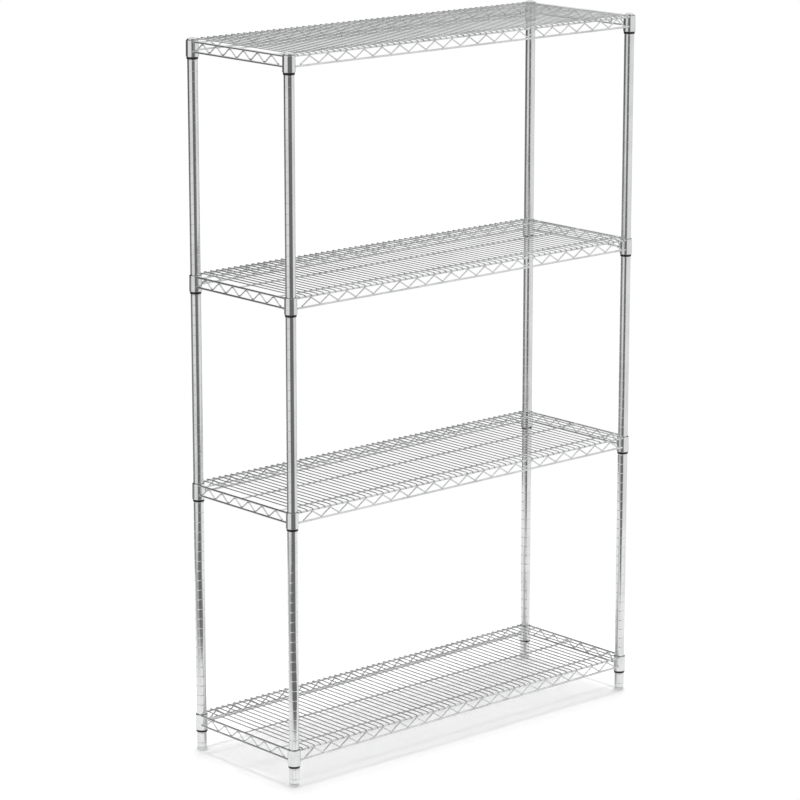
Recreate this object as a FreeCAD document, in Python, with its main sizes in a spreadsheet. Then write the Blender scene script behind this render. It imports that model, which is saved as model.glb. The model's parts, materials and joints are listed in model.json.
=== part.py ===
"""A free-standing wire shelving unit: four grooved posts and four welded wire shelves.

Each shelf hangs by its tapered corner collars on plastic sleeves, which are split in two halves so that
their inner ridge can be snapped into any groove of the post. Millimetres, +Z up, +X along the long side,
the front towards -Y. The origin is on the floor, in the middle of the footprint.
"""

import FreeCAD, Part
import math
import os
import re

import Sketcher
from FreeCAD import Vector

# Driving sizes, each with what it measures
SIZES = {
    "post_spacing_long": (1142.0, "post axis to post axis, long side"),
    "post_spacing_deep": (368.0, "post axis to post axis, front to back"),
    "post_diameter": (25.4, "outside of the post tube"),
    "post_wall": (1.2, "wall of the post tube"),
    "post_top_height": (1825.2, "upper end of the tube above the floor"),
    "groove_pitch": (25.4, "groove to groove along the post"),
    "groove_width": (2.4, "mouth of a groove"),
    "groove_depth": (0.7, "depth of a groove"),
    "lowest_groove_height": (20.0, "lowest groove above the floor"),
    "bottom_shelf_groove": (2, "grooves from the lowest one up to the bottom shelf"),
    "lower_shelf_rise": (24, "grooves from the bottom shelf up to the lower shelf"),
    "upper_shelf_drop": (23, "grooves from the top shelf down to the upper shelf"),
    "plug_clearance": (0.05, "round a plug inside the tube"),
    "cap_dome_height": (3.8, "post cap above the tube's end"),
    "cap_plug_length": (12.0, "post cap inside the tube"),
    "cap_plug_wall": (1.8, "wall of the post cap's plug"),
    "insert_length": (30.0, "threaded insert in the tube's lower end"),
    "foot_base_height": (8.0, "hexagon base of a levelling foot"),
    "foot_across_flats": (22.0, "hexagon base of a levelling foot"),
    "foot_edge_chamfer": (1.2, "bevel round the hexagon's lower edge"),
    "foot_stem_diameter": (9.8, "stem of a levelling foot"),
    "foot_stem_length": (27.0, "stem above the hexagon base"),
    "foot_stem_clearance": (0.3, "round the stem in its insert"),
    "foot_seat_gap": (0.3, "hexagon base to the end of the post"),
    "sleeve_clearance": (0.1, "sleeve round the post"),
    "sleeve_rim_height": (6.0, "rim that shows below the collar"),
    "sleeve_rim_wall": (1.55, "wall of the rim"),
    "sleeve_foot_wall": (1.4, "wall of the taper at its wide lower end"),
    "sleeve_top_wall": (0.8, "wall of the taper at its upper end"),
    "sleeve_top_proud": (1.0, "sleeve above the collar"),
    "sleeve_ridge_height": (20.0, "inner ridge above the middle of the rim"),
    "sleeve_ridge_depth": (0.5, "inner ridge into the groove"),
    "sleeve_ridge_width": (1.4, "inner ridge along the post"),
    "sleeve_split": (0.6, "gap between the two halves"),
    "collar_clearance": (0.3, "collar round the sleeve's taper"),
    "collar_wall": (1.5, "wall of the collar"),
    "collar_rim_gap": (0.3, "collar above the sleeve's rim"),
    "collar_top_proud": (2.2, "collar above the upper edge wire's middle"),
    "collar_edge_radius": (0.7, "round on the collar's lower outer edge"),
    "edge_wire_diameter": (5.0, "wires round the shelf's edge"),
    "edge_wire_offset": (9.0, "edge wires outboard of the post axes"),
    "lower_edge_height": (16.5, "lower edge wires above the middle of the rim"),
    "edge_wire_spacing": (25.0, "lower to upper edge wire"),
    "truss_wire_diameter": (3.4, "zigzag wires between the edge wires"),
    "deck_wires_per_truss": (3, "deck wires from peak to peak of a long truss"),
    "long_truss_bend": (5.0, "bend of a long truss at the wire's middle"),
    "short_truss_pitch": (52.5, "peak to peak of a short truss"),
    "short_truss_bend": (9.0, "bend of a short truss at the wire's middle"),
    "support_wire_diameter": (4.0, "long wires under the deck"),
    "support_wire_inset": (46.0, "outer support wires inside the long edge wires"),
    "deck_wire_diameter": (2.8, "wires of the deck"),
    "deck_pitch": (19.05, "deck wire to deck wire"),
    "deck_tail_length": (5.0, "straight end of a deck wire below its bend"),
    "weld_gap": (0.05, "between the surfaces of wires that are welded"),
}

# Sizes that follow from them, above the middle of the sleeve's rim where they are heights on a shelf
POST_RADIUS = "(post_diameter / 2)"
TUBE_BORE = f"({POST_RADIUS} - post_wall)"
POST_FOOT = "(foot_base_height + foot_seat_gap)"
RIM_TOP = "(sleeve_rim_height / 2)"
SLEEVE_BORE = f"({POST_RADIUS} + sleeve_clearance)"
UPPER_EDGE = "(lower_edge_height + edge_wire_spacing)"
COLLAR_FOOT = f"({RIM_TOP} + collar_rim_gap)"
COLLAR_TOP = f"({UPPER_EDGE} + collar_top_proud)"
SLEEVE_TOP = f"({COLLAR_TOP} + sleeve_top_proud)"
EDGE_TO_TRUSS = "((edge_wire_diameter + truss_wire_diameter) / 2 + weld_gap)"
TRUSS_VALLEY = f"(lower_edge_height + {EDGE_TO_TRUSS})"
TRUSS_RISE = f"(edge_wire_spacing - 2 * {EDGE_TO_TRUSS})"
LONG_EDGE_Y = "(post_spacing_deep / 2 + edge_wire_offset)"
SHORT_EDGE_X = "(post_spacing_long / 2 + edge_wire_offset)"
DECK_BEND = "((edge_wire_diameter + deck_wire_diameter) / 2 + weld_gap)"
DECK_HEIGHT = f"({UPPER_EDGE} + {DECK_BEND})"
SUPPORT_HEIGHT = f"({DECK_HEIGHT} - (deck_wire_diameter + support_wire_diameter) / 2 - weld_gap)"
SUPPORT_Y = f"({LONG_EDGE_Y} - support_wire_inset)"
LONG_TRUSS_PITCH = "(deck_pitch * deck_wires_per_truss)"


def taper_radius(height):
    """The sleeve's tapered outside at a height above the middle of its rim."""
    fall = f"(sleeve_foot_wall - sleeve_top_wall) / ({SLEEVE_TOP} - {RIM_TOP})"
    return f"({SLEEVE_BORE} + sleeve_foot_wall - ({height} - {RIM_TOP}) * {fall})"


def collar_radius(height):
    """The collar's outside, which follows the sleeve's taper."""
    return f"({taper_radius(height)} + collar_clearance + collar_wall)"


COLLAR_WIDEST = collar_radius(COLLAR_FOOT)
DECK_HALF_ROOM = f"(post_spacing_long / 2 - {COLLAR_WIDEST} - deck_wire_diameter / 2)"
DECK_COUNT = f"(2 * floor({DECK_HALF_ROOM} / deck_pitch) + 1)"
LONG_TRUSS_ROOM = f"(post_spacing_long / 2 - {COLLAR_WIDEST} - truss_wire_diameter)"
LONG_TRUSS_COUNT = f"(2 * floor({LONG_TRUSS_ROOM} / {LONG_TRUSS_PITCH} - 0.5) + 1)"
SHORT_TRUSS_ROOM = f"(post_spacing_deep - 2 * ({COLLAR_WIDEST} + truss_wire_diameter))"
SHORT_TRUSS_COUNT = f"floor({SHORT_TRUSS_ROOM} / short_truss_pitch)"
TOP_GROOVE_ROOM = f"(post_top_height - lowest_groove_height - {SLEEVE_TOP} + sleeve_ridge_height)"
TOP_SHELF_GROOVE = f"floor({TOP_GROOVE_ROOM} / groove_pitch)"
SHELF_GROOVES = {
    "top_shelf": TOP_SHELF_GROOVE,
    "upper_shelf": f"({TOP_SHELF_GROOVE} - upper_shelf_drop)",
    "lower_shelf": "(bottom_shelf_groove + lower_shelf_rise)",
    "bottom_shelf": "bottom_shelf_groove",
}
CORNERS = {
    "front_left": ("-post_spacing_long / 2", "-post_spacing_deep / 2"),
    "front_right": ("post_spacing_long / 2", "-post_spacing_deep / 2"),
    "back_left": ("-post_spacing_long / 2", "post_spacing_deep / 2"),
    "back_right": ("post_spacing_long / 2", "post_spacing_deep / 2"),
}

doc = FreeCAD.newDocument("wire_shelving_unit")
sheet = doc.addObject("Spreadsheet::Sheet", "sizes")
for row, (alias, (size, note)) in enumerate(SIZES.items(), start=1):
    sheet.set(f"A{row}", note)
    sheet.set(f"B{row}", str(size))
    sheet.setAlias(f"B{row}", alias)
doc.recompute()


def linked(formula):
    """The formula with each size's name pointed at its cell."""
    return re.sub(r"[a-z][a-z_]*", lambda m: f"sizes.{m[0]}" if m[0] in SIZES else m[0], formula)


def bind(feature, name, formula):
    feature.setExpression(name, linked(formula))


def value(formula):
    """What a formula comes to now, for first positions in a sketch."""
    return float(sheet.evalExpression(formula))


def new_body(name):
    return doc.addObject("PartDesign::Body", name)


def origin(body, role):
    """One of the planes or axes of a body's own origin."""
    return next(feature for feature in body.Origin.OriginFeatures if feature.Role == role)


def new_sketch(body, name, plane, shift=("0", "0", "0")):
    """A sketch on one of the body's planes, shifted along the plane's own directions."""
    sketch = body.newObject("Sketcher::SketchObject", name)
    sketch.AttachmentSupport = [(origin(body, plane), "")]
    sketch.MapMode = "FlatFace"
    for axis, formula in zip("xyz", shift):
        if formula != "0":
            bind(sketch, f"AttachmentOffset.Base.{axis}", formula)
    doc.recompute()
    return sketch


def dimension(sketch, formula, kind, *places):
    """A dimension of the sketch, bound to its formula."""
    index = sketch.addConstraint(Sketcher.Constraint(kind, *places, value(formula)))
    name = f"size{index}"
    sketch.renameConstraint(index, name)
    bind(sketch, f"Constraints.{name}", formula)


def locate(sketch, geometry, point, x, y):
    """Hold a point of the sketch at x, y from the sketch's origin."""
    for kind, axis, formula in (("DistanceX", -2, x), ("DistanceY", -1, y)):
        if formula == "0":
            sketch.addConstraint(Sketcher.Constraint("PointOnObject", geometry, point, axis))
        else:
            dimension(sketch, formula, kind, -1, 1, geometry, point)


def add_circle(sketch, x, y, radius):
    centre = Vector(value(x), value(y), 0)
    circle = sketch.addGeometry(Part.Circle(centre, Vector(0, 0, 1), value(radius)))
    dimension(sketch, radius, "Radius", circle)
    locate(sketch, circle, 3, x, y)


def add_outline(sketch, corners):
    """A closed outline of straight lines."""
    points = [Vector(value(x), value(y), 0) for x, y in corners]
    following = points[1:] + points[:1]
    lines = [sketch.addGeometry(Part.LineSegment(*ends)) for ends in zip(points, following)]
    for line, after in zip(lines, lines[1:] + lines[:1]):
        sketch.addConstraint(Sketcher.Constraint("Coincident", line, 2, after, 1))
    for line, (x, y) in zip(lines, corners):
        locate(sketch, line, 1, x, y)


def pad(body, sketch, length, both_ways=False):
    feature = body.newObject("PartDesign::Pad", f"{sketch.Label}_pad")
    feature.Profile = sketch
    feature.SideType = "Symmetric" if both_ways else "One side"
    bind(feature, "Length", length)
    body.Tip = feature
    return feature


def revolve(body, sketch, kind="Revolution", angle="360"):
    """Turn a sketch about its own vertical axis, as material or as a cut."""
    feature = body.newObject(f"PartDesign::{kind}", f"{sketch.Label}_turned")
    feature.Profile = sketch
    feature.ReferenceAxis = (sketch, ["V_Axis"])
    bind(feature, "Angle", angle)
    body.Tip = feature
    return feature


def repeat_along(body, feature, axis, pitch, count):
    pattern = body.newObject("PartDesign::LinearPattern", f"{feature.Label}_row")
    pattern.Originals = [feature]
    pattern.Direction = (origin(body, axis), [""])
    bind(pattern, "Length", f"{pitch} * ({count} - 1)")
    bind(pattern, "Occurrences", count)
    body.Tip = pattern
    return pattern


def sweep(body, section, path):
    feature = body.newObject("PartDesign::AdditivePipe", f"{path.Label}_wire")
    feature.Profile = section
    feature.Spine = path
    body.Tip = feature
    return feature


def placed(label, pieces, x="0", y="0", z="0"):
    """Pieces set at a place of their own, as one named object."""
    node = doc.addObject("Part::Compound", label)
    node.Label = label
    node.Links = pieces
    for axis, formula in zip("xyz", (x, y, z)):
        bind(node, f"Placement.Base.{axis}", formula)
    return node


def check_cut(before, after, name):
    """A cut that points away from the solid removes nothing, so the volumes are compared."""
    doc.recompute()
    if not after.Shape.Volume < before.Shape.Volume:
        raise RuntimeError(f"{name} cuts nothing")


def make_post():
    """A tube with a row of shallow rolled grooves, which the sleeves lock into."""
    body = new_body("post")
    section = new_sketch(body, "post_section", "XY_Plane", ("0", "0", POST_FOOT))
    add_circle(section, "0", "0", POST_RADIUS)
    add_circle(section, "0", "0", TUBE_BORE)
    tube = pad(body, section, f"post_top_height - {POST_FOOT}")
    groove = new_sketch(body, "post_groove", "XZ_Plane", ("0", "lowest_groove_height", "0"))
    add_outline(groove, [
        (f"{POST_RADIUS} - groove_depth", "0"),
        (f"{POST_RADIUS} + groove_depth", "groove_width"),
        (f"{POST_RADIUS} + groove_depth", "-groove_width"),
    ])
    lowest = revolve(body, groove, "Groove")
    check_cut(tube, lowest, "post groove")
    repeat_along(body, lowest, "Z_Axis", "groove_pitch", f"({TOP_SHELF_GROOVE} + 1)")
    return body


def make_cap():
    """A plastic cap: a low dome over the tube's end, on a hollow plug."""
    body = new_body("cap")
    half = new_sketch(body, "cap_half", "XZ_Plane")
    plug = f"({TUBE_BORE} - plug_clearance)"
    hollow = f"({plug} - cap_plug_wall)"
    corners = [
        (POST_RADIUS, "0"),
        (plug, "0"),
        (plug, "-cap_plug_length"),
        (hollow, "-cap_plug_length"),
        (hollow, "0"),
        ("0", "0"),
        ("0", "cap_dome_height"),
    ]
    points = [Vector(value(x), value(y), 0) for x, y in corners]
    lines = [half.addGeometry(Part.LineSegment(*ends)) for ends in zip(points, points[1:])]
    for line, after in zip(lines, lines[1:]):
        half.addConstraint(Sketcher.Constraint("Coincident", line, 2, after, 1))
    for line, (x, y) in zip(lines, corners):
        locate(half, line, 1, x, y)
    locate(half, lines[-1], 2, *corners[-1])
    dome_radius = value(f"({POST_RADIUS} * {POST_RADIUS} / cap_dome_height + cap_dome_height) / 2")
    crown = Vector(0, value("cap_dome_height") - dome_radius, 0)
    circle = Part.Circle(crown, Vector(0, 0, 1), dome_radius)
    edge_angle = math.atan2(-crown.y, points[0].x)
    dome = half.addGeometry(Part.ArcOfCircle(circle, edge_angle, math.pi / 2))
    half.addConstraint(Sketcher.Constraint("Coincident", dome, 1, lines[0], 1))
    half.addConstraint(Sketcher.Constraint("Coincident", dome, 2, lines[-1], 2))
    half.addConstraint(Sketcher.Constraint("PointOnObject", dome, 3, -2))
    revolve(body, half)
    return body


def make_insert():
    """The threaded insert pressed into the post's lower end."""
    body = new_body("foot_insert")
    ring = new_sketch(body, "insert_ring", "XY_Plane", ("0", "0", POST_FOOT))
    add_circle(ring, "0", "0", f"{TUBE_BORE} - plug_clearance")
    add_circle(ring, "0", "0", "foot_stem_diameter / 2 + foot_stem_clearance")
    pad(body, ring, "insert_length")
    return body


def make_foot():
    """A levelling foot: a hexagon base, bevelled below, on a stem that screws into the insert."""
    body = new_body("levelling_foot")
    hexagon = new_sketch(body, "foot_hexagon", "XY_Plane")
    flat = "foot_across_flats / 2"
    half_side = "foot_across_flats / 2 / sqrt(3)"
    add_outline(hexagon, [
        (flat, f"-{half_side}"),
        (flat, half_side),
        ("0", f"2 * {half_side}"),
        (f"-{flat}", half_side),
        (f"-{flat}", f"-{half_side}"),
        ("0", f"-2 * {half_side}"),
    ])
    base = pad(body, hexagon, "foot_base_height")
    bevel = new_sketch(body, "foot_bevel", "XZ_Plane")
    corner = f"2 * {half_side}"
    add_outline(bevel, [
        (f"{flat} - foot_edge_chamfer", "0"),
        (f"{corner} + foot_edge_chamfer", "0"),
        (f"{corner} + foot_edge_chamfer", f"{corner} - {flat} + 2 * foot_edge_chamfer"),
    ])
    bevelled = revolve(body, bevel, "Groove")
    check_cut(base, bevelled, "foot bevel")
    stem = new_sketch(body, "foot_stem", "XY_Plane", ("0", "0", "foot_base_height"))
    add_circle(stem, "0", "0", "foot_stem_diameter / 2")
    pad(body, stem, "foot_stem_length")
    return body


def make_sleeve():
    """Two half shells round the post: rim, taper, and a ridge that sits in one groove."""
    body = new_body("sleeve")
    half = new_sketch(body, "sleeve_half", "XZ_Plane")
    rim = f"{SLEEVE_BORE} + sleeve_rim_wall"
    add_outline(half, [
        (SLEEVE_BORE, f"-{RIM_TOP}"),
        (rim, f"-{RIM_TOP}"),
        (rim, RIM_TOP),
        (taper_radius(RIM_TOP), RIM_TOP),
        (taper_radius(SLEEVE_TOP), SLEEVE_TOP),
        (SLEEVE_BORE, SLEEVE_TOP),
        (SLEEVE_BORE, "sleeve_ridge_height + sleeve_ridge_width / 2"),
        (f"{SLEEVE_BORE} - sleeve_ridge_depth", "sleeve_ridge_height"),
        (SLEEVE_BORE, "sleeve_ridge_height - sleeve_ridge_width / 2"),
    ])
    split_angle = f"sleeve_split / {SLEEVE_BORE} * 180 / pi"
    first = revolve(body, half, angle=f"180 - {split_angle}")
    pair = body.newObject("PartDesign::PolarPattern", "sleeve_pair")
    pair.Originals = [first]
    pair.Axis = (origin(body, "Z_Axis"), [""])
    pair.Angle = 360
    pair.Occurrences = 2
    body.Tip = pair
    return body


def make_collar():
    """A tapered steel tube that drops over the sleeve and wedges there."""
    body = new_body("collar")
    wall = new_sketch(body, "collar_wall_section", "XZ_Plane")
    inside_foot = f"{taper_radius(COLLAR_FOOT)} + collar_clearance"
    inside_top = f"{taper_radius(COLLAR_TOP)} + collar_clearance"
    add_outline(wall, [
        (inside_foot, COLLAR_FOOT),
        (collar_radius(COLLAR_FOOT), COLLAR_FOOT),
        (collar_radius(COLLAR_TOP), COLLAR_TOP),
        (inside_top, COLLAR_TOP),
    ])
    tube = revolve(body, wall)
    doc.recompute()
    lower_edge = Vector(value(collar_radius(COLLAR_FOOT)), 0, value(COLLAR_FOOT))
    nearest = min(
        range(len(tube.Shape.Edges)),
        key=lambda index: tube.Shape.Edges[index].distToShape(Part.Vertex(lower_edge))[0]
        + abs(tube.Shape.Edges[index].CenterOfMass.z - lower_edge.z),
    )
    rounded = body.newObject("PartDesign::Fillet", "collar_lower_edge")
    rounded.Base = (tube, [f"Edge{nearest + 1}"])
    bind(rounded, "Radius", "collar_edge_radius")
    body.Tip = rounded
    return body


def make_edge_wires():
    """Eight straight wires round a shelf, their ends shaped to the collars they are welded to."""
    body = new_body("edge_wires")
    heights = ("lower_edge_height", UPPER_EDGE)
    radius = "edge_wire_diameter / 2"
    long_ends = new_sketch(body, "long_edge_ends", "YZ_Plane")
    short_ends = new_sketch(body, "short_edge_ends", "XZ_Plane")
    for sign in ("-", ""):
        for height in heights:
            add_circle(long_ends, f"{sign}{LONG_EDGE_Y}", height, radius)
            add_circle(short_ends, f"{sign}{SHORT_EDGE_X}", height, radius)
    pad(body, long_ends, "post_spacing_long", both_ways=True)
    before = pad(body, short_ends, "post_spacing_deep", both_ways=True)
    for name, (x, y) in CORNERS.items():
        clear = new_sketch(body, f"edge_end_{name}", "XZ_Plane", (x, "0", f"-({y})"))
        add_outline(clear, [
            ("0", COLLAR_FOOT),
            (f"{collar_radius(COLLAR_FOOT)} + weld_gap", COLLAR_FOOT),
            (f"{collar_radius(SLEEVE_TOP)} + weld_gap", SLEEVE_TOP),
            ("0", SLEEVE_TOP),
        ])
        after = revolve(body, clear, "Groove")
        check_cut(before, after, f"edge wire ends {name}")
        before = after
    return body


def add_truss_path(sketch, pitch, bend):
    """One peak of a zigzag, from valley to valley, with level ends so that copies join smoothly."""
    half, rise, radius = value(pitch) / 2, value(TRUSS_RISE), value(bend)
    straight_rise = rise - 2 * radius
    slope = math.atan2(straight_rise, half) + math.asin(2 * radius / math.hypot(half, straight_rise))
    up = Vector(0, 0, 1)
    left = Part.Circle(Vector(-half, radius, 0), up, radius)
    peak = Part.Circle(Vector(0, rise - radius, 0), up, radius)
    right = Part.Circle(Vector(half, radius, 0), up, radius)
    down, top = -math.pi / 2, math.pi / 2
    arcs = [
        sketch.addGeometry(Part.ArcOfCircle(left, down, down + slope)),
        sketch.addGeometry(Part.ArcOfCircle(peak, top - slope, top + slope)),
        sketch.addGeometry(Part.ArcOfCircle(right, down - slope, down)),
    ]
    ends = [sketch.Geometry[arc] for arc in arcs]
    rising = sketch.addGeometry(Part.LineSegment(ends[0].EndPoint, ends[1].EndPoint))
    falling = sketch.addGeometry(Part.LineSegment(ends[1].StartPoint, ends[2].StartPoint))
    tangents = (
        (arcs[0], 2, rising, 1),
        (rising, 2, arcs[1], 2),
        (arcs[1], 1, falling, 1),
        (falling, 2, arcs[2], 1),
    )
    for places in tangents:
        sketch.addConstraint(Sketcher.Constraint("Tangent", *places))
    locate(sketch, arcs[0], 3, f"-{pitch} / 2", bend)
    locate(sketch, arcs[0], 1, f"-{pitch} / 2", "0")
    locate(sketch, arcs[1], 3, "0", f"{TRUSS_RISE} - {bend}")
    dimension(sketch, bend, "Radius", arcs[1])
    locate(sketch, arcs[2], 3, f"{pitch} / 2", bend)
    locate(sketch, arcs[2], 2, f"{pitch} / 2", "0")


def make_long_truss():
    """The zigzag wire of a long side, in the plane Y = 0."""
    body = new_body("long_truss")
    first = f"(-{LONG_TRUSS_PITCH} * ({LONG_TRUSS_COUNT} - 1) / 2)"
    path = new_sketch(body, "long_truss_path", "XZ_Plane", (first, TRUSS_VALLEY, "0"))
    add_truss_path(path, LONG_TRUSS_PITCH, "long_truss_bend")
    start = f"{first} - {LONG_TRUSS_PITCH} / 2"
    section = new_sketch(body, "long_truss_section", "YZ_Plane", ("0", "0", start))
    add_circle(section, "0", TRUSS_VALLEY, "truss_wire_diameter / 2")
    peak = sweep(body, section, path)
    repeat_along(body, peak, "X_Axis", LONG_TRUSS_PITCH, LONG_TRUSS_COUNT)
    return body


def make_short_truss():
    """The zigzag wire of a short side, in the plane X = 0."""
    body = new_body("short_truss")
    first = f"(-short_truss_pitch * ({SHORT_TRUSS_COUNT} - 1) / 2)"
    path = new_sketch(body, "short_truss_path", "YZ_Plane", (first, TRUSS_VALLEY, "0"))
    add_truss_path(path, "short_truss_pitch", "short_truss_bend")
    start = f"{first} - short_truss_pitch / 2"
    section = new_sketch(body, "short_truss_section", "XZ_Plane", ("0", "0", f"-({start})"))
    add_circle(section, "0", TRUSS_VALLEY, "truss_wire_diameter / 2")
    peak = sweep(body, section, path)
    repeat_along(body, peak, "Y_Axis", "short_truss_pitch", SHORT_TRUSS_COUNT)
    return body


def make_support_wires():
    """Three long wires that carry the deck between the two end wires."""
    body = new_body("support_wires")
    ends = new_sketch(body, "support_ends", "YZ_Plane")
    for y in (f"-{SUPPORT_Y}", "0", SUPPORT_Y):
        add_circle(ends, y, SUPPORT_HEIGHT, "support_wire_diameter / 2")
    length = f"2 * ({SHORT_EDGE_X} - edge_wire_diameter / 2 - weld_gap)"
    pad(body, ends, length, both_ways=True)
    return body


def make_deck_wires():
    """The deck: thin wires that lie over the long edge wires and turn down outside them."""
    body = new_body("deck_wires")
    first = f"(-deck_pitch * ({DECK_COUNT} - 1) / 2)"
    path = new_sketch(body, "deck_wire_path", "YZ_Plane", ("0", UPPER_EDGE, first))
    edge, bend, tail = value(LONG_EDGE_Y), value(DECK_BEND), value("deck_tail_length")
    up = Vector(0, 0, 1)
    front = Part.Circle(Vector(-edge, 0, 0), up, bend)
    back = Part.Circle(Vector(edge, 0, 0), up, bend)
    quarter = math.pi / 2
    reach = edge + bend
    front_tail = path.addGeometry(Part.LineSegment(Vector(-reach, -tail, 0), Vector(-reach, 0, 0)))
    front_bend = path.addGeometry(Part.ArcOfCircle(front, quarter, 2 * quarter))
    flat = path.addGeometry(Part.LineSegment(Vector(-edge, bend, 0), Vector(edge, bend, 0)))
    back_bend = path.addGeometry(Part.ArcOfCircle(back, 0, quarter))
    back_tail = path.addGeometry(Part.LineSegment(Vector(reach, 0, 0), Vector(reach, -tail, 0)))
    joins = (
        (front_tail, 2, front_bend, 2),
        (front_bend, 1, flat, 1),
        (flat, 2, back_bend, 2),
        (back_bend, 1, back_tail, 1),
    )
    for places in joins:
        path.addConstraint(Sketcher.Constraint("Coincident", *places))
    outside = f"({LONG_EDGE_Y} + {DECK_BEND})"
    locate(path, front_tail, 1, f"-{outside}", "-deck_tail_length")
    locate(path, front_tail, 2, f"-{outside}", "0")
    path.addConstraint(Sketcher.Constraint("PointOnObject", front_bend, 3, -1))
    locate(path, flat, 1, f"-{LONG_EDGE_Y}", DECK_BEND)
    locate(path, flat, 2, LONG_EDGE_Y, DECK_BEND)
    path.addConstraint(Sketcher.Constraint("PointOnObject", back_bend, 3, -1))
    locate(path, back_tail, 1, outside, "0")
    locate(path, back_tail, 2, outside, "-deck_tail_length")
    tail_end = (first, f"-{outside}", f"{UPPER_EDGE} - deck_tail_length")
    section = new_sketch(body, "deck_wire_section", "XY_Plane", tail_end)
    add_circle(section, "0", "0", "deck_wire_diameter / 2")
    wire = sweep(body, section, path)
    repeat_along(body, wire, "X_Axis", "deck_pitch", DECK_COUNT)
    return body


def make_nodes():
    """Every piece of the unit at its place."""
    post, cap, insert, foot, sleeve = make_post(), make_cap(), make_insert(), make_foot(), make_sleeve()
    nodes = []
    for corner, (x, y) in CORNERS.items():
        nodes += [
            placed(f"post_{corner}", [post], x, y),
            placed(f"cap_{corner}", [cap], x, y, "post_top_height"),
            placed(f"foot_insert_{corner}", [insert], x, y),
            placed(f"levelling_foot_{corner}", [foot], x, y),
        ]
    collar, long_truss, short_truss = make_collar(), make_long_truss(), make_short_truss()
    collars = [placed(f"collar_{corner}", [collar], x, y) for corner, (x, y) in CORNERS.items()]
    trusses = [
        placed("truss_front", [long_truss], y=f"-{LONG_EDGE_Y}"),
        placed("truss_back", [long_truss], y=LONG_EDGE_Y),
        placed("truss_left", [short_truss], x=f"-{SHORT_EDGE_X}"),
        placed("truss_right", [short_truss], x=SHORT_EDGE_X),
    ]
    welded = {
        "collars": collars,
        "edge_wires": [make_edge_wires()],
        "truss_wires": trusses,
        "support_wires": [make_support_wires()],
        "deck_wires": [make_deck_wires()],
    }
    for shelf, groove in SHELF_GROOVES.items():
        rim_height = f"lowest_groove_height + groove_pitch * {groove} - sleeve_ridge_height"
        for name, pieces in welded.items():
            nodes.append(placed(f"{shelf}_{name}", pieces, z=rim_height))
        for corner, (x, y) in CORNERS.items():
            nodes.append(placed(f"{shelf}_sleeve_{corner}", [sleeve], x, y, rim_height))
    return nodes


nodes = make_nodes()
doc.recompute()
for feature in doc.Objects:
    if "Invalid" in feature.State or "Error" in feature.State:
        raise RuntimeError(f"{feature.Label} failed: {feature.State}")
for node in nodes:
    if node.Shape.isNull() or not node.Shape.isValid():
        raise RuntimeError(f"{node.Label} has no sound shape")

os.makedirs("parts", exist_ok=True)
for node in nodes:
    node.Shape.exportStep(f"parts/{node.Label}.step")
    print(f"{node.Label}: {len(node.Shape.Solids)} solids, {node.Shape.Volume:.0f} mm3")
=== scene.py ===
# %% [markdown]
# # A chrome wire shelving unit
#
# Four grooved posts carry four welded wire shelves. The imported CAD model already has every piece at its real
# size, so this lesson does three things around it. It sets the camera where the photograph was taken from. It
# builds the studio whose reflections make chrome look like chrome. And it makes the small shapes that a
# machine model leaves out, such as rolled groove lips, weld nuggets and screw threads.

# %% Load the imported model
import json
import math

import bpy
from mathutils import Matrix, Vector


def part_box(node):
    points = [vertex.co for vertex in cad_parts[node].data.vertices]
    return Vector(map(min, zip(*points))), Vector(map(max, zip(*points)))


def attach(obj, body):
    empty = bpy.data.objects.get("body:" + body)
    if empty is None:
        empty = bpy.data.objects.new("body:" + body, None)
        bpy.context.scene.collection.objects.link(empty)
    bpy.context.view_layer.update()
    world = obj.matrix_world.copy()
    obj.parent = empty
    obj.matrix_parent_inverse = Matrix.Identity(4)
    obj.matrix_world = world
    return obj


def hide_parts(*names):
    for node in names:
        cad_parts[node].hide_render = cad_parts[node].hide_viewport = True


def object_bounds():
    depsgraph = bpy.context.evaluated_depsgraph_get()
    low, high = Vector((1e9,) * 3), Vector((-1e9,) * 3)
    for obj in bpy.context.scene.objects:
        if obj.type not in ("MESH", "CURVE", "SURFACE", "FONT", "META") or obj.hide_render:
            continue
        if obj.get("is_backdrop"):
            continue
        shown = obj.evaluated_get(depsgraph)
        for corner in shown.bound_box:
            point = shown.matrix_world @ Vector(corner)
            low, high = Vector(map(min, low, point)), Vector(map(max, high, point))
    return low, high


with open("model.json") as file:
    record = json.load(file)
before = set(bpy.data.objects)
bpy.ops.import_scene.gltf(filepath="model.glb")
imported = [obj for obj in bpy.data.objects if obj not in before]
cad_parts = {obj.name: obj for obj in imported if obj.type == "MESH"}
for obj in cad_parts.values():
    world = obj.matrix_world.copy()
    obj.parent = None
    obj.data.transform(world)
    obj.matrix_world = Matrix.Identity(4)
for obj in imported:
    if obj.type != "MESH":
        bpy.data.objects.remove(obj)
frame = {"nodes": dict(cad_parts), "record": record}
cad_low, cad_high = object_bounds()
nodes = frame["nodes"]
MM = 0.001
SHELVES = ("top_shelf", "upper_shelf", "lower_shelf", "bottom_shelf")
CORNERS = ("front_left", "front_right", "back_left", "back_right")
print(len(nodes), "CAD nodes in a box of", [round(side, 4) for side in cad_high - cad_low], "m")

# %% [markdown]
# ## The camera
#
# The unit was photographed from its left front corner, from well above the top shelf and from far away with
# a long lens. The place, the turn and the lens below come from fitting a camera to the posts' axes, the dark
# sleeve rims and the posts' ends, whose real places the model gives.

# %% Set the camera
PHOTO_SIDE = 800
SENSOR_WIDTH = 36.0
FOCAL_LENGTH_PIXELS = 3378
CAMERA_PLACE = (-5.645, -6.290, 2.893)
CAMERA_TURN = 41.62
CAMERA_TILT = 13.52


def add_object(name, data):
    """A new object in the scene, at the origin."""
    made = bpy.data.objects.new(name, data)
    bpy.context.scene.collection.objects.link(made)
    return made


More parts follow.
